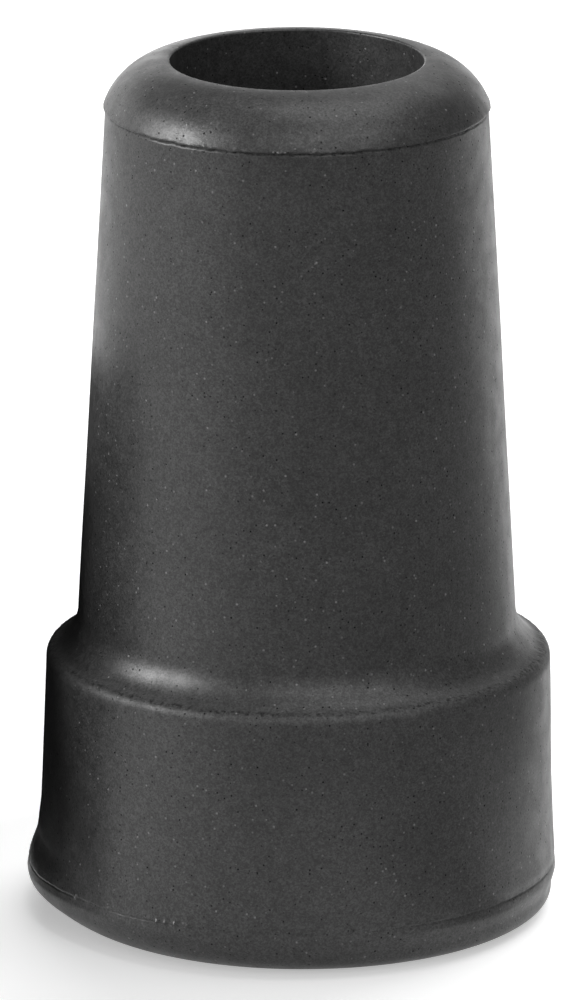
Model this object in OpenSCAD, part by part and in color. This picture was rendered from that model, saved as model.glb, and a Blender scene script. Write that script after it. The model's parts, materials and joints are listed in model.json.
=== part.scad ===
// Rubber cane tip: one moulding with a rolled cap, a tapered sleeve, a filleted shoulder,
// a flared base, a ringed sole and a blind socket for the shaft.
// Millimetres, +Z up, origin at the centre of the sole.

/* [Socket] */
// Diameter of the socket that grips the shaft
socket_d = 18; // [12:0.5:32]
// Width of the bevel on the mouth's inner edge
mouth_bevel = 0.25; // [0.1:0.05:0.8]
// Width of the bevel round the socket's floor
floor_bevel = 1.5; // [0.5:0.1:4]
// Thickness of solid rubber between the socket's floor and the sole
floor_t = 16; // [6:0.5:30]

/* [Cap] */
// Wall of the cap at its edge, measured out from the socket
cap_wall = 4.75; // [3.8:0.05:8]
// Height of the rolled cap, from its edge up to the mouth
cap_h = 3.4; // [1.5:0.1:4.5]
// How far the cap's edge stands out beyond the sleeve
cap_step = 0.15; // [0.05:0.05:0.5]

/* [Sleeve] */
// Height of the sleeve, from the shoulder up to the cap's edge
sleeve_h = 38.25; // [20:0.05:60]
// How much larger the sleeve's radius is at its foot than at its top
sleeve_spread = 2.15; // [0.2:0.05:5]

/* [Shoulder] */
// Width of the shoulder, from the sleeve to the crease above the base's rounded edge
shoulder_w = 1.88; // [1.2:0.02:5]
// Height of the shoulder's round above that crease
shoulder_h = 1.5; // [0.8:0.05:2.2]
// Radius of the fillet between the sleeve and the shoulder
foot_fillet = 1.6; // [0.4:0.05:2.5]

/* [Base] */
// Radius of the base's rounded upper edge
brow_r = 0.85; // [0.6:0.05:2]
// How far the base's rounded edge stands out from the crease above it
brow_w = 0.45; // [0.2:0.01:0.55]
// Height of the base wall, from the flare up to the rounded edge
base_wall_h = 13.7; // [6:0.1:30]
// How much larger the base wall's radius is at its foot than at its top
base_spread = 0.52; // [0.1:0.02:2]
// Height of the flare above the rim
flare_h = 1.4; // [0.5:0.1:4]
// How far the rim stands out from the base wall
flare_w = 0.4; // [0.1:0.02:1.5]
// Height of the plain band under the rim's parting line
band_h = 0.6; // [0.4:0.1:3]
// Depth of the fine groove along the rim's parting line
parting_depth = 0.06; // [0.03:0.01:0.3]
// Width of the fine groove along the rim's parting line
parting_w = 0.2; // [0.1:0.05:0.6]

/* [Sole] */
// Width of the rounded edge between the band and the flat sole
edge_w = 3.6; // [3:0.1:6]
// Height of the rounded edge between the band and the flat sole
edge_h = 2.8; // [1:0.1:3]
// Number of ring grooves in the sole
groove_count = 3; // [1:1:5]
// Width of a groove where it opens on the sole
groove_w = 1.6; // [1:0.1:2.4]
// How much narrower a groove is at its floor
groove_draft = 0.6; // [0.1:0.1:0.9]
// Depth of a groove
groove_depth = 1.4; // [0.5:0.1:3]

/* [Hidden] */
$fn = 180;

// Overlap where one outline runs into another
lap = 0.1;
// How far inside the sleeve the shoulder's crest lies
crest_inset = 2.7;
// How far the edge's arc would dip below the sole, so that it meets it at a crease
edge_dip = 0.02;
// How far the fillet's arc would dip into the sleeve and the shoulder, so that it meets them at creases
fillet_dip = 0.02;

// Radii, from the socket outwards
socket_r = socket_d / 2;
cap_r = socket_r + cap_wall;
sleeve_top_r = cap_r - cap_step;
sleeve_foot_r = sleeve_top_r + sleeve_spread;
shoulder_r = sleeve_foot_r + shoulder_w;
base_top_r = shoulder_r + brow_w;
base_foot_r = base_top_r + base_spread;
rim_r = base_foot_r + flare_w;
sole_r = rim_r - edge_w;
groove_pitch = sole_r / (groove_count + 0.5);

// Heights, from the sole up
rim_z = edge_h + band_h;
flare_z = rim_z + flare_h;
base_top_z = flare_z + base_wall_h;
crease_z = base_top_z + sqrt(brow_r * brow_r - pow(brow_r - brow_w, 2));
shoulder_z = crease_z + shoulder_h;
cap_z = shoulder_z + sleeve_h;
mouth_z = cap_z + cap_h;

// Radius of an arc that starts level and falls by drop over a run
function arc_r(run, drop) = (run * run + drop * drop) / (2 * drop);

// Shoulder's round, with its crest hidden inside the sleeve
crest_x = sleeve_foot_r - crest_inset;
crest_r = arc_r(shoulder_r - crest_x, shoulder_h);
crest_centre = [crest_x, shoulder_z - crest_r];

// Fillet at the sleeve's foot: where its centre lies, tangent to the sleeve and to the shoulder's round
taper = atan(sleeve_spread / sleeve_h);
sleeve_up = [-sin(taper), cos(taper)];
sleeve_out = [cos(taper), sin(taper)];
from_crest = [sleeve_foot_r, shoulder_z] + foot_fillet * sleeve_out - crest_centre;
rise = from_crest * sleeve_up;
reach = crest_r + foot_fillet;
climb = sqrt(rise * rise - from_crest * from_crest + reach * reach) - rise;
fillet_centre = crest_centre + from_crest + climb * sleeve_up;
fillet_top = fillet_centre - foot_fillet * sleeve_out;
fillet_end = crest_centre + (fillet_centre - crest_centre) * crest_r / reach;

// Radius of the sleeve at a height, also where the shoulder and the cap hide it
function sleeve_r(z) = sleeve_top_r + sleeve_spread * (cap_z - z) / sleeve_h;

// The part of a disc above a level, with the disc's highest point at (x, z)
module crest(x, z, r, level) {
    intersection() {
        translate([x, z - r])
            circle(r);
        translate([0, level])
            square([x + 2 * r, z - level + lap]);
    }
}

// Straight walls of the base and the sleeve, with the corner that the fillet is cut into
module walls() {
    polygon([
        [0, 0],
        [rim_r, 0],
        [rim_r, rim_z],
        [base_foot_r, flare_z],
        [base_top_r, base_top_z],
        [sleeve_foot_r, base_top_z],
        [sleeve_foot_r, fillet_end[1] - lap],
        [fillet_end[0], fillet_end[1] - lap],
        fillet_centre,
        fillet_top,
        [sleeve_r(cap_z + lap), cap_z + lap],
        [0, cap_z + lap],
    ]);
}

// Rolled cap, level at the socket's wall
module cap() {
    crest(socket_r, mouth_z, arc_r(cap_wall, cap_h), cap_z);
}

// Rounded shoulder between the sleeve and the base
module shoulder() {
    crest(crest_x, shoulder_z, crest_r, base_top_z - lap);
}

// Rounded upper edge of the base
module brow() {
    crest(base_top_r - brow_r, base_top_z + brow_r, brow_r, base_top_z - lap);
}

// What the fillet takes off the corner between the sleeve's foot and the shoulder
module fillet() {
    translate(fillet_centre)
        circle(foot_fillet + fillet_dip);
}

// Blind socket, bevelled at its mouth and round its floor
module socket() {
    polygon([
        [0, floor_t],
        [socket_r - floor_bevel, floor_t],
        [socket_r, floor_t + floor_bevel],
        [socket_r, mouth_z - mouth_bevel],
        [socket_r + 2 * mouth_bevel, mouth_z + mouth_bevel],
        [0, mouth_z + mouth_bevel],
    ]);
}

// What the rounded edge takes off the corner of the band and the sole
module sole_corner() {
    r = arc_r(edge_w, edge_h + edge_dip);
    difference() {
        translate([sole_r, -lap])
            square([edge_w + lap, edge_h + 2 * lap]);
        translate([sole_r, r - edge_dip])
            circle(r);
    }
}

// Fine groove along the rim's parting line
module parting_groove() {
    polygon([
        [rim_r - parting_depth, rim_z],
        [rim_r + parting_depth, rim_z - parting_w],
        [rim_r + parting_depth, rim_z + parting_w],
    ]);
}

// One ring groove of the tread, with sloping sides that run out below the sole
module groove(r) {
    run_out = groove_draft * lap / groove_depth;
    mouth = groove_w / 2 + run_out / 2;
    floor_half = (groove_w - groove_draft) / 2;
    polygon([
        [r - mouth, -lap],
        [r + mouth, -lap],
        [r + floor_half, groove_depth],
        [r - floor_half, groove_depth],
    ]);
}

// The moulded body
module cane_tip() {
    color("#3c3c3d")
    rotate_extrude()
    difference() {
        union() {
            walls();
            cap();
            shoulder();
            brow();
        }
        fillet();
        socket();
        sole_corner();
        parting_groove();
        for (i = [1 : groove_count])
            groove(i * groove_pitch);
    }
}

cane_tip();
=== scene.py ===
"""Rubber cane tip: one dark grey moulding on a white studio floor, seen as in the photograph."""
import json
import math
import random

import bpy
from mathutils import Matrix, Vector, noise


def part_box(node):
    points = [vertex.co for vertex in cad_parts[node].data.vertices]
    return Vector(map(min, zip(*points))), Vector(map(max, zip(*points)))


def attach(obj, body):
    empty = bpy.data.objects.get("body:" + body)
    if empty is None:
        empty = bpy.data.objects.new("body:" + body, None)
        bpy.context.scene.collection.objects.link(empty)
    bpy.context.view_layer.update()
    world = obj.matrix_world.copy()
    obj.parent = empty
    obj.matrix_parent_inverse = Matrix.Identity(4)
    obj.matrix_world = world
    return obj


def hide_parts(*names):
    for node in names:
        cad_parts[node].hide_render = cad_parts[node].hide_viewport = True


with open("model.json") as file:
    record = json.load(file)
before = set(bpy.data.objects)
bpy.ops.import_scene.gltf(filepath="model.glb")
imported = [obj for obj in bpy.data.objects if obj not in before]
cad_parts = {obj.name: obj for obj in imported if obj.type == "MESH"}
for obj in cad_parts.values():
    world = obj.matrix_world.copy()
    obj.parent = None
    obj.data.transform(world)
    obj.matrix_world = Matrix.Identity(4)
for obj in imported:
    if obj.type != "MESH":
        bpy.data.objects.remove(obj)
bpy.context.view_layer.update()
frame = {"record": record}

# Millimetres to metres
MM = 0.001

# Sizes taken from the frame, in millimetres
low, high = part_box("cane_tip")
socket_mount = next(m for m in frame["record"]["mounts"] if m["name"] == "shaft_socket")
RIM_R = (high.x - low.x) / 2 / MM
MOUTH_Z = high.z / MM
SOCKET_R = socket_mount["dims"]["r_mm"]
SOCKET_MIDDLE_Z = socket_mount["pos_m"][2] / MM
SOCKET_WALL = socket_mount["dims"]["length_mm"]

# Socket and cap, in millimetres
FLOOR_BEVEL = 1.5
MOUTH_ROUND = 0.16
CAP_WALL = 4.75
CAP_H = 3.4
CAP_STEP = 0.15
CAP_LIP_ROUND = 0.1
CAP_CREASE_DEPTH = 0.12
CAP_CREASE_H = 0.24

# Sleeve and shoulder, in millimetres
SLEEVE_SPREAD = 2.15
SLEEVE_H = 38.25
SHOULDER_W = 1.88
SHOULDER_H = 1.5
COVE_R = 3.2

# Base, rim and sole, in millimetres
BROW_R = 0.85
BROW_W = 0.45
BASE_SPREAD = 0.52
FLARE_W = 0.4
FLARE_H = 1.4
FLARE_SWEEP = 0.7
PARTING_DEPTH = 0.035
PARTING_HALF_W = 0.1
PARTING_ROUND = 0.06
BAND_H = 0.6
EDGE_W = 3.6
EDGE_H = 2.8
GROOVE_COUNT = 3
GROOVE_W = 1.6
GROOVE_DRAFT = 0.6
GROOVE_DEPTH = 1.4
GROOVE_ROUND = 0.12

# Radii and heights that follow, in millimetres
FLOOR_Z = SOCKET_MIDDLE_Z - SOCKET_WALL / 2 - FLOOR_BEVEL
CAP_R = SOCKET_R + CAP_WALL
CAP_Z = MOUTH_Z - CAP_H
SLEEVE_TOP_R = CAP_R - CAP_STEP
SLEEVE_FOOT_R = SLEEVE_TOP_R + SLEEVE_SPREAD
SHOULDER_Z = CAP_Z - SLEEVE_H
SHOULDER_R = SLEEVE_FOOT_R + SHOULDER_W
CREASE_Z = SHOULDER_Z - SHOULDER_H
BASE_TOP_R = SHOULDER_R + BROW_W
BASE_TOP_Z = CREASE_Z - math.sqrt(BROW_R ** 2 - (BROW_R - BROW_W) ** 2)
BASE_FOOT_R = BASE_TOP_R + BASE_SPREAD
RIM_Z = EDGE_H + BAND_H
FLARE_Z = RIM_Z + FLARE_H
SOLE_R = RIM_R - EDGE_W
GROOVE_PITCH = SOLE_R / (GROOVE_COUNT + 0.5)

# Mesh: columns round the body, how many times finer they are along the parting lines and how far from
# them in millimetres, the gaps between rings, the steps along each arc, and where arcs stop in degrees
COLUMNS = 300
FINE = 3
FINE_BAND = 0.24
RING_GAP = 2.2
SUPPORT_GAP = 0.12
FLOOR_SHARES = (0.08, 0.3, 0.55, 0.75)
FLOOR_STEPS = 6
MOUTH_STEPS = 8
ROLL_STEPS = 24
LIP_STEPS = 5
COVE_STEPS = 24
BROW_STEPS = 11
FLARE_STEPS = 10
EDGE_STEPS = 20
CORNER_STEPS = 3
ARC_STOP = 2
# Radii from clear of the socket's mouth to well outside it
OUTSIDE = (SOCKET_R + 1, SOCKET_R + 1.5)

# Slow waves in the skin, in millimetres
WAVE_DEPTH = 0.03
WAVE_LENGTH = 11.0

# Uneven rim, in millimetres, and degrees from the front: the flare stands out further on the left, fades
# at the front and the right, and has a soft groove at the right
RIM_SKEW = 0.28
SIDE_FLARE_Z = 7.5
FRONT_FLARE = 0.08
FRONT_FADE_IN = (-82, -48)
FRONT_FADE_OUT = (150, 100)
SOLE_FADE = (0.2, EDGE_H)
SOFT_GROOVE = 0.12
SOFT_GROOVE_Z = RIM_Z + 0.12
SOFT_GROOVE_H = 0.32
SOFT_GROOVE_AT = 64
SOFT_GROOVE_REACH = 30

# Uneven base wall and sole, in millimetres: the wall leans right and is hollow there, and the sole's edge
# is fuller at the right, with a bulge above it at the left
BASE_SKEW = 0.1
WALL_TOP = (SHOULDER_Z, CREASE_Z - 1)
WALL_FOOT = (FLARE_Z - 1, FLARE_Z + 4)
HOLLOW_DEPTH = 0.2
HOLLOW_H = 5
SOLE_SPREAD = 0.28
SOLE_SKEW = 0.55
EDGE_FADE_Z = (2, 0.3)
EDGE_FADE_R = (SOLE_R - 2, SOLE_R + 1)
BULGE = 0.25
BULGE_Z = 2
BULGE_H = 1.1

# Ragged parting lines and shoulder crease: depths and heights in millimetres, grain in waves per millimetre
LINE_RAGGED = 0.03
LINE_GRAIN = 2.2
RIM_LINE_H = 0.16
CAP_LINE_H = 0.12
CREASE_RAGGED = 0.06
CREASE_GRAIN = 2.6
CREASE_LINE_H = 0.35
WANDER = 0.09
WANDER_GRAIN = 0.9
FINE_WANDER_SHARE = 0.6
FINE_WANDER_GRAIN = 2.7
CAP_WANDER_H = 0.5
RIM_WANDER_H = 0.4
RIM_WANDER_SHARE = 0.6

# Flash nibs along the two parting lines: angle from the front in degrees, and how far they stand out in
# millimetres, with more at random places on the back
RIM_NIBS = [(-57, 0.15), (-46, 0.13), (-32, 0.18), (-30, 0.16), (-27.5, 0.2), (-24.5, 0.11), (-5, 0.08),
            (3.5, 0.1), (12.5, 0.09), (21, 0.06), (25, 0.11), (30, 0.12)]
CAP_NIBS = [(-28, 0.1), (-5, 0.17), (4.5, 0.17), (11, 0.08), (-15, 0.07)]
HIDDEN_NIBS = 22
HIDDEN_ARC = (115, 245)
HIDDEN_HEIGHT = (0.04, 0.1)
RIM_SEED = 3
CAP_SEED = 8
NIB_W = 0.14

# Rubber's tone, linear, and how it varies: noise as size in millimetres and detail, and share either way
RUBBER_TONE = 0.026
CLOUD = (7.0, 4.0)
CLOUD_SHARE = 0.1
MOTTLE = (0.7, 3.0)
MOTTLE_SHARE = 0.16
GRAIN = (0.2, 2.0)
GRAIN_SHARE = 0.32
CRUMB_GAP = 0.1
CRUMB_SHARE = 0.2
NOISE_RANGE = (0.3, 0.7)
GRAIN_RANGE = (0.25, 0.75)

# Rubber's pits, pale specks and painted shade in the parting lines and the crease, in millimetres, with painted
# shade as a factor and tones linear: the pits are painted darker as the shade in them, and the raised specks
# paler as a painted highlight
# Pits are small hollows, painted darker as the shade in them
PIT_GAP = 0.46
PIT_R = 0.1
PIT_PAINTED_SHADE = 0.1
# Specks are small raised grains, painted paler as a highlight on their tops
SPECK_GAP = 0.7
SPECK_R = 0.11
SPECK_PAINTED_HIGHLIGHT = 0.11
# Painted shade in the parting lines and the shoulder's crease, broken up by noise given as size in millimetres
# and detail
CREASE_SHADE_NOISE = (0.3, 3.0)
CREASE_SHADE_RANGE = (0.4, 0.68)
CREASE_SHADE_SHARE = 0.7
CREASE_PAINTED_SHADE = 0.35
CAP_SHADE_H = 0.2
RIM_SHADE_H = 0.16
RIM_SHADE_SHARE = 0.4
CREASE_SHADE_H = 0.15
# Share of a dot's radius or a line's height in which it is full
CORE_SHARE = 0.4

# Rubber's sheen and relief: roughness and specular level, and relief in millimetres
ROUGH = (1.6, 3.0)
ROUGHNESS_LOW = 0.36
ROUGHNESS_HIGH = 0.45
PIT_ROUGH = 0.2
BEAD_ROUGH = 0.15
BEAD_Z = CREASE_Z - 0.3
BEAD_H = 0.8
SPECULAR = 0.5
PIT_SPECULAR = 0.1
SHEEN_SHARE = 0.16
GRAIN_DEPTH = 0.014
GRAIN_RELIEF = 0.5

# Camera, from the fit to the photograph: metres, degrees, and a lens for a 36 mm long side
CAMERA_PLACE = Vector((-0.00035, -0.7954, 0.25895))
CAMERA_PITCH = -16.062
CAMERA_LENS = 416.8
CLIP_START = 0.01

# Floor, in metres, just under the sole
FLOOR_RADIUS = 1.4
FLOOR_SIDES = 96
FLOOR_GAP = 0.00002
FLOOR_TONE = 0.9
FLOOR_GLOW = 0.42

# Light, in metres and degrees: room, soft boxes as azimuth from straight behind, elevation, distance, width,
# height and radiance, the point they are aimed at, and those that spare the floor
ROOM_LIGHT = 0.2
AIM = (0, 0, 0.035)
SOFTBOXES = {
    "key": (258, 26, 0.5, 0.3, 0.18, 15.5),
    "front": (160, 32, 0.9, 1.1, 0.8, 0.7),
    "high_front": (153, 50, 0.7, 0.75, 0.3, 1.7),
    "top": (60, 76, 0.7, 0.5, 0.5, 2.3),
    "back_left": (328, 12, 0.7, 0.8, 0.3, 1.5),
    "back": (14, 6, 0.9, 0.7, 0.26, 1.2),
    "back_top": (20, 36, 0.7, 0.42, 0.3, 0.9),
    "wash": (18, 32, 1.0, 1.2, 0.5, 5.0),
}
OFF_FLOOR = ("key", "high_front", "back_left", "back", "back_top")

# Cards out of the camera's sight, in metres and degrees: a grey one on the floor by its corners, seen only in
# reflections, where it paints shade on the floor in front of the body, and a black flag that stands in an arc
# beside the body, as azimuth from straight behind and height
CARD_ROUGHNESS = 0.9
CARD_TONE = 0.35
CARD_CORNERS = [(-0.4, -0.7), (0.6, -0.7), (0.6, 0.08), (0.064, 0.08), (0.039, -0.014), (0.0195, -0.008),
                (0.0168, -0.0125), (0.025, -0.052), (-0.045, -0.055)]
CARD_Z = 0.0004
FLAG_TONE = 0.01
FLAG_R = 0.028
FLAG_TOP = [(244, 0.016), (249, 0.024), (254, 0.035), (261, 0.04), (280, 0.037), (350, 0.035)]
FLAG_STEPS = 6


def arc(centre, radius, start, end, steps):
    """Points along an arc between two angles in degrees, both ends included."""
    points = []
    for i in range(steps + 1):
        a = math.radians(start + (end - start) * i / steps)
        points.append((centre[0] + radius * math.cos(a), centre[1] + radius * math.sin(a)))
    return points


def rounded(before, corner, after, radius, steps):
    """The arc that rounds one corner of an outline, tangent to both of its sides."""
    c = Vector(corner)
    u = (Vector(before) - c).normalized()
    v = (Vector(after) - c).normalized()
    half = u.angle(v) / 2
    centre = c + (u + v).normalized() * (radius / math.sin(half))
    start = c + u * (radius / math.tan(half)) - centre
    end = c + v * (radius / math.tan(half)) - centre
    turn = start.angle_signed(end)
    points = []
    for i in range(steps + 1):
        a = math.atan2(start.y, start.x) - turn * i / steps
        points.append((centre.x + radius * math.cos(a), centre.y + radius * math.sin(a)))
    return points


def arc_radius(run, drop):
    """Radius of an arc that starts level and falls by drop over a run."""
    return (run * run + drop * drop) / (2 * drop)


def level_angle(centre_z, radius, z):
    """Angle in degrees at which a circle crosses a height, on its outer side."""
    return math.degrees(math.asin((z - centre_z) / radius))


def smooth_step(low_edge, high_edge, value):
    """0 at one edge, 1 at the other, and an even slope between."""
    t = min(1, max(0, (value - low_edge) / (high_edge - low_edge)))
    return t * t * (3 - 2 * t)


def bell(distance, width):
    """A smooth bump that falls off over a width."""
    return math.exp(-(distance / width) ** 2)


def mouth_fillet():
    """Radius of the cap's roll, how far above its centre the mouth's round has its own, and where they meet."""
    radius = arc_radius(CAP_WALL, CAP_H)
    rise = math.sqrt((radius - MOUTH_ROUND) ** 2 - MOUTH_ROUND ** 2)
    return radius, rise, math.degrees(math.atan2(rise, MOUTH_ROUND))


def socket_outline():
    """The socket, from the middle of its floor up to the mouth."""
    corner = (SOCKET_R - FLOOR_BEVEL, FLOOR_Z + FLOOR_BEVEL)
    points = [(SOCKET_R * share, FLOOR_Z) for share in FLOOR_SHARES]
    points += arc(corner, FLOOR_BEVEL, -90, 0, FLOOR_STEPS)
    radius, rise, meets = mouth_fillet()
    mouth = (SOCKET_R + MOUTH_ROUND, MOUTH_Z - radius + rise)
    return points + arc(mouth, MOUTH_ROUND, 180, meets, MOUTH_STEPS)


def cap_outline():
    """The rolled cap, from the mouth out to its lip and in to the crease under it."""
    radius, _, start = mouth_fillet()
    centre = (SOCKET_R, MOUTH_Z - radius)
    lip = (CAP_R, CAP_Z)
    end = level_angle(centre[1], radius, CAP_Z)
    roll = arc(centre, radius, start, end + ARC_STOP, ROLL_STEPS)[1:]
    crease = (SLEEVE_TOP_R - CAP_CREASE_DEPTH, CAP_Z - CAP_CREASE_H / 2)
    below = (SLEEVE_TOP_R, CAP_Z - CAP_CREASE_H)
    return roll + rounded(roll[-1], lip, crease, CAP_LIP_ROUND, LIP_STEPS) + [crease, below]


def shoulder_outline():
    """The cove from the sleeve down to the crease, and the base's rounded edge."""
    taper = math.atan(SLEEVE_SPREAD / SLEEVE_H)
    up = Vector((-math.sin(taper), math.cos(taper)))
    out = Vector((math.cos(taper), math.sin(taper)))
    crease = Vector((SHOULDER_R, CREASE_Z))
    apart = Vector((SLEEVE_FOOT_R, SHOULDER_Z)) + COVE_R * out - crease
    rise = apart.dot(up)
    climb = math.sqrt(rise * rise - apart.length_squared + COVE_R ** 2) - rise
    centre = crease + apart + climb * up
    end = math.degrees(math.atan2(crease.y - centre.y, crease.x - centre.x)) % 360
    cove = arc(centre, COVE_R, 180 + math.degrees(taper), end, COVE_STEPS)
    brow_centre = (BASE_TOP_R - BROW_R, BASE_TOP_Z)
    brow_start = level_angle(BASE_TOP_Z, BROW_R, CREASE_Z)
    brow = arc(brow_centre, BROW_R, brow_start, ARC_STOP, BROW_STEPS)
    return cove + brow[1:]


def rim_outline():
    """The flare, the parting groove, the band under it and the rounded edge of the sole."""
    start = FLARE_Z + FLARE_SWEEP
    slope = BASE_SPREAD / (BASE_TOP_Z - FLARE_Z)
    reach = RIM_R - BASE_FOOT_R - slope * FLARE_H
    flare = []
    for i in range(FLARE_STEPS):
        t = i / FLARE_STEPS
        z = start + (RIM_Z - start) * t
        wall = BASE_TOP_R + slope * (BASE_TOP_Z - z)
        flare.append((wall + reach * smooth_step(0, 1, t), z))
    upper = (RIM_R, RIM_Z + PARTING_HALF_W)
    bottom = (RIM_R - PARTING_DEPTH, RIM_Z)
    lower = (RIM_R, RIM_Z - PARTING_HALF_W)
    radius = arc_radius(EDGE_W, EDGE_H)
    edge = arc((SOLE_R, radius), radius, level_angle(radius, radius, EDGE_H), -90, EDGE_STEPS)
    groove = rounded(flare[-1], upper, bottom, PARTING_ROUND, CORNER_STEPS) + [bottom]
    groove += rounded(bottom, lower, edge[0], PARTING_ROUND, CORNER_STEPS)
    return flare + groove + edge


def sole_outline():
    """The ring grooves of the tread, from the outermost one in to the middle of the sole."""
    points = []
    for i in range(GROOVE_COUNT, 0, -1):
        middle = i * GROOVE_PITCH
        floor_half = (GROOVE_W - GROOVE_DRAFT) / 2
        corners = [(middle + GROOVE_W, 0), (middle + GROOVE_W / 2, 0),
                   (middle + floor_half, GROOVE_DEPTH), (middle - floor_half, GROOVE_DEPTH),
                   (middle - GROOVE_W / 2, 0), (middle - GROOVE_W, 0)]
        for before, corner, after in zip(corners, corners[1:], corners[2:]):
            points += rounded(before, corner, after, GROOVE_ROUND, CORNER_STEPS)
    return points + [(GROOVE_PITCH / 4, 0)]


def spaced(outline):
    """The outline with its long straight stretches split, and a ring held close to each end of them."""
    points = [outline[0]]
    for before, after in zip(outline, outline[1:]):
        run = math.dist(before, after)
        if run > 3 * SUPPORT_GAP:
            inner = run - 2 * SUPPORT_GAP
            count = max(1, round(inner / RING_GAP))
            for i in range(count + 1):
                t = (SUPPORT_GAP + inner * i / count) / run
                points.append((before[0] + (after[0] - before[0]) * t, before[1] + (after[1] - before[1]) * t))
        points.append(after)
    return points


def hidden_nibs(seed):
    """Flash nibs for the back, at seeded places."""
    draw = random.Random(seed)
    return [(draw.uniform(*HIDDEN_ARC), draw.uniform(*HIDDEN_HEIGHT)) for _ in range(HIDDEN_NIBS)]


rim_nibs = RIM_NIBS + hidden_nibs(RIM_SEED)
cap_nibs = CAP_NIBS + hidden_nibs(CAP_SEED)


def nib_height(nibs, angle, radius):
    """How far the flash stands out at an angle in degrees, in millimetres."""
    total = 0
    for place, height in nibs:
        turn = (angle - place + 180) % 360 - 180
        total += height * bell(math.radians(turn) * radius, NIB_W)
    return total


def rim_swell(a, z):
    """How far the uneven rim stands out at an angle from the front and a height."""
    turn = (math.degrees(a) + 180) % 360 - 180
    front = smooth_step(*FRONT_FADE_IN, turn) * smooth_step(*FRONT_FADE_OUT, turn)
    above_sole = smooth_step(*SOLE_FADE, z)
    near_rim = smooth_step(FLARE_Z + FLARE_SWEEP, RIM_Z, z) * above_sole
    side_rim = smooth_step(SIDE_FLARE_Z, RIM_Z, z) * above_sole
    swell = RIM_SKEW * max(0, -math.sin(a)) * (1 - front) * side_rim
    swell -= (FLARE_W - FRONT_FLARE) * front * near_rim
    in_groove = bell(z - SOFT_GROOVE_Z, SOFT_GROOVE_H) * bell(turn - SOFT_GROOVE_AT, SOFT_GROOVE_REACH)
    return swell - SOFT_GROOVE * in_groove


def wall_swell(a, z):
    """How far the base's wall stands out at an angle from the front and a height."""
    on_wall = smooth_step(*WALL_TOP, z) * smooth_step(*WALL_FOOT, z)
    hollow = HOLLOW_DEPTH * max(0, math.sin(a)) * bell(z - BASE_TOP_Z / 2, HOLLOW_H)
    return BASE_SKEW * math.sin(a) * on_wall - hollow


def sole_swell(a, r, z):
    """How far the sole's edge stands out at an angle from the front, a radius and a height."""
    spread = (SOLE_SPREAD + SOLE_SKEW * math.sin(a)) * smooth_step(*EDGE_FADE_Z, z)
    bulge = BULGE * max(0, -math.sin(a)) * bell(z - BULGE_Z, BULGE_H)
    return (spread + bulge) * smooth_step(*EDGE_FADE_R, r)


def line_swell(place, angle, z):
    """How far the ragged edges and the flash stand out along the parting lines and the shoulder's crease."""
    ragged = LINE_RAGGED * noise.noise(place * LINE_GRAIN)
    on_rim = bell(z - RIM_Z - PARTING_HALF_W, RIM_LINE_H)
    on_cap = bell(z - CAP_Z, CAP_LINE_H)
    swell = CREASE_RAGGED * bell(z - CREASE_Z, CREASE_LINE_H) * noise.noise(place * CREASE_GRAIN)
    swell += on_rim * (ragged + nib_height(rim_nibs, angle, RIM_R))
    return swell + on_cap * (ragged + nib_height(cap_nibs, angle, CAP_R))


def line_lift(place, z):
    """How far the two parting lines wander up and down."""
    wander = noise.noise(place * WANDER_GRAIN) + FINE_WANDER_SHARE * noise.noise(place * FINE_WANDER_GRAIN)
    near_lines = bell(z - CAP_Z, CAP_WANDER_H) + RIM_WANDER_SHARE * bell(z - RIM_Z, RIM_WANDER_H)
    return WANDER * wander * near_lines


def moulded(r, z, angle):
    """Where a point of the outline lies at an angle from the front, with the moulding's unevenness."""
    a = math.radians(angle)
    place = Vector((r * math.sin(a), -r * math.cos(a), z))
    swell = WAVE_DEPTH * noise.noise(place / WAVE_LENGTH)
    lift = 0
    if r > SOCKET_R + MOUTH_ROUND:
        swell += rim_swell(a, z) + wall_swell(a, z) + sole_swell(a, r, z) + line_swell(place, angle, z)
        lift = line_lift(place, z)
    share = min(1, r / (2 * WAVE_LENGTH))
    out = r + swell * (share if z < GROOVE_DEPTH else 1)
    return (out * math.sin(a) * MM, -out * math.cos(a) * MM, (z + lift) * MM)


def is_fine(z):
    """Whether a ring lies along a parting line or the shoulder's crease, where the columns are finer."""
    return min(abs(z - RIM_Z), abs(z - CAP_Z), abs(z - CREASE_Z)) < FINE_BAND


def revolve(name, outline):
    """One closed mesh round the Z axis, with finer columns along the parting lines."""
    vertices, faces, rings = [], [], []
    for r, z in outline:
        count = COLUMNS * FINE if is_fine(z) and r > OUTSIDE[0] else COLUMNS
        rings.append((len(vertices), count))
        vertices += [moulded(r, z, 360 * i / count) for i in range(count)]
    for (a, a_count), (b, b_count) in zip(rings, rings[1:]):
        faces += bridge(a, a_count, b, b_count)
    for (start, count), z, turn in ((rings[0], outline[0][1], 1), (rings[-1], outline[-1][1], -1)):
        vertices.append((0, 0, z * MM))
        middle = len(vertices) - 1
        faces += [(middle, start + i, start + (i + 1) % count)[::turn] for i in range(count)]
    mesh = bpy.data.meshes.new(name)
    mesh.from_pydata(vertices, [], faces)
    mesh.update()
    mesh.shade_smooth()
    piece = bpy.data.objects.new(name, mesh)
    bpy.context.collection.objects.link(piece)
    return piece


def bridge(a, a_count, b, b_count):
    """Faces between two rings, where one may have FINE times the columns of the other."""
    if a_count == b_count:
        return [(a + i, b + i, b + (i + 1) % a_count, a + (i + 1) % a_count) for i in range(a_count)]
    if a_count > b_count:
        return [face[::-1] for face in bridge(b, b_count, a, a_count)]
    faces = []
    for i in range(a_count):
        near, far = a + i, a + (i + 1) % a_count
        row = [b + (FINE * i + k) % b_count for k in range(FINE + 1)]
        faces += [(near, row[0], row[1]), (near, row[1], row[2], far), (far, row[2], row[3])]
    return faces


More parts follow.
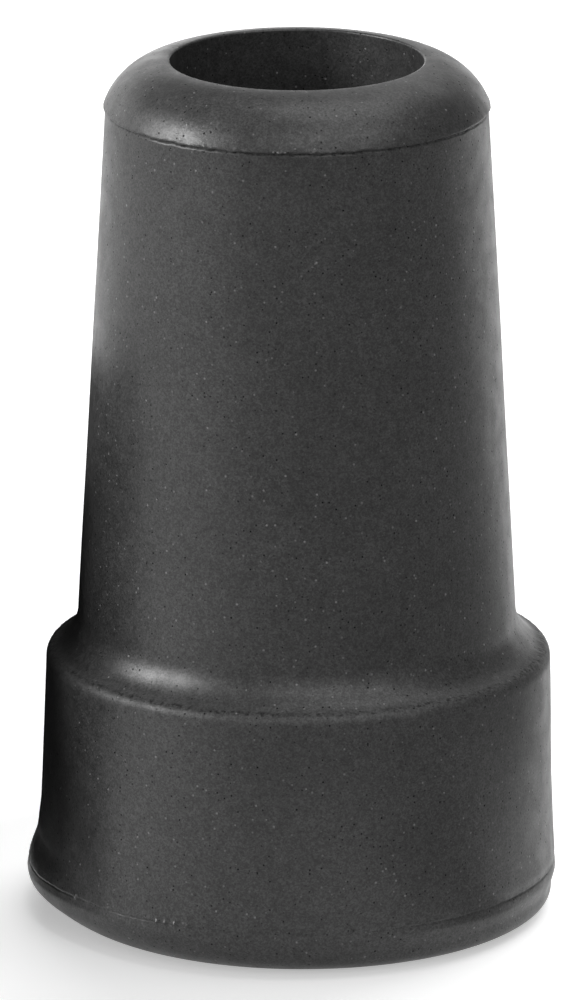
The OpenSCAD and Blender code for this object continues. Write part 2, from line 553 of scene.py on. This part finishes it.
def add(tree, kind, inputs=(), **settings):
    """A node with some of its inputs and settings given: an input is a value or another node's output."""
    made = tree.nodes.new(kind)
    for key, value in settings.items():
        setattr(made, key, value)
    for key, value in dict(inputs).items():
        if isinstance(value, bpy.types.NodeSocket):
            tree.links.new(value, made.inputs[key])
        else:
            made.inputs[key].default_value = value
    return made


def scale_of(size):
    """Texture scale for features of a size in millimetres."""
    return 1 / (size * MM)


def noise_map(tree, place, size, detail):
    """Soft noise between 0 and 1, with features of a size in millimetres."""
    inputs = {"Vector": place, "Scale": scale_of(size), "Detail": detail}
    return add(tree, "ShaderNodeTexNoise", inputs).outputs["Fac"]


def ranged(tree, value, from_low, from_high, to_low, to_high):
    """A value moved smoothly from one range to another."""
    inputs = {"Value": value, "From Min": from_low, "From Max": from_high, "To Min": to_low, "To Max": to_high}
    return add(tree, "ShaderNodeMapRange", inputs, interpolation_type="SMOOTHSTEP").outputs["Result"]


def varied(tree, value, from_range, share):
    """A factor about 1 that follows a map, by a share either way."""
    return ranged(tree, value, *from_range, 1 - share, 1 + share)


def maths(tree, operation, a, b):
    """The result of one operation on two values."""
    return add(tree, "ShaderNodeMath", {0: a, 1: b}, operation=operation).outputs["Value"]


def cells_of(tree, place, gap):
    """Cells about a gap apart, in millimetres."""
    return add(tree, "ShaderNodeTexVoronoi", {"Vector": place, "Scale": scale_of(gap)})


def chance_of(tree, cells):
    """A value between 0 and 1 for each cell of a texture, at random."""
    return add(tree, "ShaderNodeSeparateColor", {"Color": cells.outputs["Color"]}).outputs["Red"]


def dots(tree, place, gap, radius):
    """Round dots of a radius, about a gap apart, in millimetres: 1 inside and 0 outside, fainter at random."""
    cells = cells_of(tree, place, gap)
    inside = ranged(tree, cells.outputs["Distance"], radius / gap * CORE_SHARE, radius / gap, 1, 0)
    return maths(tree, "MULTIPLY", inside, chance_of(tree, cells))


def near_height(tree, height, z, reach):
    """1 at a height in millimetres and 0 beyond a reach from it."""
    away = maths(tree, "ABSOLUTE", maths(tree, "SUBTRACT", height, z * MM), 0)
    return ranged(tree, away, reach * CORE_SHARE * MM, reach * MM, 1, 0)


def painted_crease_shade(tree, place, height):
    """Painted shade in the parting lines and the shoulder's crease, on the outside only."""
    cap_line = near_height(tree, height, CAP_Z - CAP_CREASE_H / 2, CAP_SHADE_H)
    rim_line = maths(tree, "MULTIPLY", near_height(tree, height, RIM_Z, RIM_SHADE_H), RIM_SHADE_SHARE)
    lines = maths(tree, "MAXIMUM", cap_line, rim_line)
    lines = maths(tree, "MAXIMUM", lines, near_height(tree, height, CREASE_Z, CREASE_SHADE_H))
    broken = ranged(tree, noise_map(tree, place, *CREASE_SHADE_NOISE), *CREASE_SHADE_RANGE, 0, 1)
    flat = add(tree, "ShaderNodeVectorMath", {0: place, 1: (1, 1, 0)}, operation="MULTIPLY").outputs["Vector"]
    radius = add(tree, "ShaderNodeVectorMath", {0: flat}, operation="LENGTH").outputs["Value"]
    outside = ranged(tree, radius, OUTSIDE[0] * MM, OUTSIDE[1] * MM, 0, CREASE_SHADE_SHARE)
    return maths(tree, "MULTIPLY", maths(tree, "MULTIPLY", lines, broken), outside)


def rubber_material():
    """Dark grey moulded rubber: fine grain, pits with painted shade, raised specks with a painted highlight, and
    painted shade in the parting lines and the crease.
    """
    material = bpy.data.materials.new("moulded_rubber")
    material.use_nodes = True
    tree = material.node_tree
    shader = tree.nodes["Principled BSDF"]
    place = add(tree, "ShaderNodeTexCoord").outputs["Object"]
    height = add(tree, "ShaderNodeSeparateXYZ", {"Vector": place}).outputs["Z"]
    grain = noise_map(tree, place, *GRAIN)
    crumb = chance_of(tree, cells_of(tree, place, CRUMB_GAP))
    pits = dots(tree, place, PIT_GAP, PIT_R)
    specks = dots(tree, place, SPECK_GAP, SPECK_R)
    crease_shade = painted_crease_shade(tree, place, height)

    tone = varied(tree, noise_map(tree, place, *CLOUD), NOISE_RANGE, CLOUD_SHARE)
    tone = maths(tree, "MULTIPLY", tone, RUBBER_TONE)
    # Tone factors: random cloud, mottle, grain and crumbs, painted shade in the pits, and painted shade in the
    # parting lines and the crease
    factors = [varied(tree, noise_map(tree, place, *MOTTLE), NOISE_RANGE, MOTTLE_SHARE),
               varied(tree, grain, GRAIN_RANGE, GRAIN_SHARE), varied(tree, crumb, (0, 1), CRUMB_SHARE),
               ranged(tree, pits, 0, 1, 1, PIT_PAINTED_SHADE), ranged(tree, crease_shade, 0, 1, 1, CREASE_PAINTED_SHADE)]
    for factor in factors:
        tone = maths(tree, "MULTIPLY", tone, factor)
    # Raised specks painted paler: a painted highlight on their tops
    tone = maths(tree, "ADD", tone, maths(tree, "MULTIPLY", specks, SPECK_PAINTED_HIGHLIGHT))
    colour = add(tree, "ShaderNodeCombineColor", {"Red": tone, "Green": tone, "Blue": tone})
    tree.links.new(colour.outputs["Color"], shader.inputs["Base Color"])

    rough = ranged(tree, noise_map(tree, place, *ROUGH), *NOISE_RANGE, ROUGHNESS_LOW, ROUGHNESS_HIGH)
    rough = maths(tree, "ADD", rough, maths(tree, "MULTIPLY", pits, PIT_ROUGH))
    bead = maths(tree, "MULTIPLY", near_height(tree, height, BEAD_Z, BEAD_H), BEAD_ROUGH)
    tree.links.new(maths(tree, "ADD", rough, bead), shader.inputs["Roughness"])

    sheen = ranged(tree, maths(tree, "MAXIMUM", pits, crease_shade), 0, 1, SPECULAR, PIT_SPECULAR)
    sheen = maths(tree, "MULTIPLY", sheen, varied(tree, crumb, (0, 1), SHEEN_SHARE))
    tree.links.new(sheen, shader.inputs["Specular IOR Level"])

    relief = maths(tree, "SUBTRACT", maths(tree, "MULTIPLY", grain, GRAIN_RELIEF), pits)
    inputs = {"Height": maths(tree, "ADD", relief, specks), "Strength": 1.0, "Distance": GRAIN_DEPTH * MM}
    bump = add(tree, "ShaderNodeBump", inputs)
    tree.links.new(bump.outputs["Normal"], shader.inputs["Normal"])
    return material


def build_body():
    """The moulded body, in place of the plain solid."""
    outline = socket_outline() + cap_outline() + shoulder_outline() + rim_outline() + sole_outline()
    piece = revolve("rubber_body", spaced(outline))
    piece.data.materials.append(rubber_material())
    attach(piece, "root")
    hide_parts("cane_tip")
    return piece


def build_floor():
    """A white floor that keeps the object's shadow and is its own background."""
    place = (0, 0, -FLOOR_GAP)
    bpy.ops.mesh.primitive_circle_add(vertices=FLOOR_SIDES, radius=FLOOR_RADIUS, fill_type="NGON", location=place)
    floor = bpy.context.object
    floor.name = "floor"
    material = bpy.data.materials.new("floor_white")
    material.use_nodes = True
    tree = material.node_tree
    tree.nodes.clear()
    path = add(tree, "ShaderNodeLightPath").outputs
    seen = maths(tree, "MAXIMUM", path["Is Camera Ray"], path["Is Glossy Ray"])
    seen = maths(tree, "MAXIMUM", seen, path["Is Transmission Ray"])
    paint = add(tree, "ShaderNodeBsdfDiffuse", {"Color": (FLOOR_TONE, FLOOR_TONE, FLOOR_TONE, 1)})
    glow = add(tree, "ShaderNodeEmission", {"Strength": maths(tree, "MULTIPLY", seen, FLOOR_GLOW)})
    both = add(tree, "ShaderNodeAddShader", {0: paint.outputs["BSDF"], 1: glow.outputs["Emission"]})
    add(tree, "ShaderNodeOutputMaterial", {"Surface": both.outputs["Shader"]})
    floor.data.materials.append(material)
    return floor


def flag_outline():
    """Corners and faces of a low card that stands in an arc beside the body."""
    corners, faces = [], []
    for (azimuth, top), (next_azimuth, next_top) in zip(FLAG_TOP, FLAG_TOP[1:]):
        for i in range(FLAG_STEPS):
            t = i / FLAG_STEPS
            a = math.radians(azimuth + (next_azimuth - azimuth) * t)
            height = top + (next_top - top) * t
            corners += [(FLAG_R * math.sin(a), FLAG_R * math.cos(a), z) for z in (0, height)]
    for i in range(0, len(corners) - 2, 2):
        faces.append((i, i + 1, i + 3, i + 2))
    return corners, faces


def build_card(name, corners, faces, tone, shades):
    """A matt card, out of the camera's sight, that the body reflects and that may also shade it."""
    mesh = bpy.data.meshes.new(name)
    mesh.from_pydata(corners, [], faces)
    card = bpy.data.objects.new(name, mesh)
    bpy.context.collection.objects.link(card)
    material = bpy.data.materials.new(name)
    material.use_nodes = True
    shader = material.node_tree.nodes["Principled BSDF"]
    shader.inputs["Base Color"].default_value = (tone, tone, tone, 1)
    shader.inputs["Roughness"].default_value = CARD_ROUGHNESS
    shader.inputs["Specular IOR Level"].default_value = 0
    mesh.materials.append(material)
    card.visible_camera = False
    card.visible_shadow = shades
    card.visible_diffuse = shades
    return card


def link_light(piece, lamps, state, role):
    """Sets whether a piece of the set takes, or blocks, the light of some lamps: INCLUDE alone, or EXCLUDE."""
    linked = bpy.data.collections.new("_".join((piece.name, state, role)))
    linked.objects.link(piece)
    linked.collection_objects[0].light_linking.link_state = state
    for name in lamps:
        setattr(bpy.data.objects[name].light_linking, role, linked)


def softbox(name, azimuth, elevation, distance, width, height, radiance):
    """A soft lamp at an azimuth from straight behind, clockwise from above, that shines on the body."""
    lamp = bpy.data.lights.new(name, "AREA")
    lamp.shape = "RECTANGLE"
    lamp.size = width
    lamp.size_y = height
    lamp.energy = radiance * math.pi * width * height
    piece = bpy.data.objects.new(name, lamp)
    bpy.context.collection.objects.link(piece)
    a, e = math.radians(azimuth), math.radians(elevation)
    away = Vector((math.sin(a) * math.cos(e), math.cos(a) * math.cos(e), math.sin(e))) * distance
    piece.location = away + Vector(AIM)
    piece.rotation_euler = (Vector(AIM) - piece.location).to_track_quat("-Z", "Y").to_euler()
    piece.visible_camera = False


def build_light():
    """Soft studio light: a dim room and a few soft boxes."""
    world = bpy.data.worlds.new("studio")
    bpy.context.scene.world = world
    world.use_nodes = True
    background = world.node_tree.nodes["Background"].inputs
    background["Color"].default_value = (1, 1, 1, 1)
    background["Strength"].default_value = ROOM_LIGHT
    for name, settings in SOFTBOXES.items():
        softbox(name, *settings)


def build_set():
    """The floor, the two cards, and which lamps reach them."""
    floor = build_floor()
    link_light(floor, OFF_FLOOR, "EXCLUDE", "receiver_collection")
    link_light(floor, ["wash"], "INCLUDE", "receiver_collection")
    # A grey card that only reflections see: painted shade on the floor in front
    corners = [(x, y, CARD_Z) for x, y in CARD_CORNERS]
    build_card("grey_card", corners, [range(len(corners))], CARD_TONE, False)
    flag = build_card("flag", *flag_outline(), FLAG_TONE, True)
    link_light(flag, ["wash"], "EXCLUDE", "blocker_collection")


def build_camera():
    """The photograph's view."""
    camera = bpy.data.objects.new("camera", bpy.data.cameras.new("camera"))
    camera.data.lens = CAMERA_LENS
    camera.data.clip_start = CLIP_START
    camera.location = CAMERA_PLACE
    camera.rotation_euler = (math.radians(90 + CAMERA_PITCH), 0, 0)
    bpy.context.collection.objects.link(camera)
    bpy.context.scene.camera = camera


build_camera()
build_light()
build_set()
build_body()
bpy.context.scene.view_settings.view_transform = "Standard"
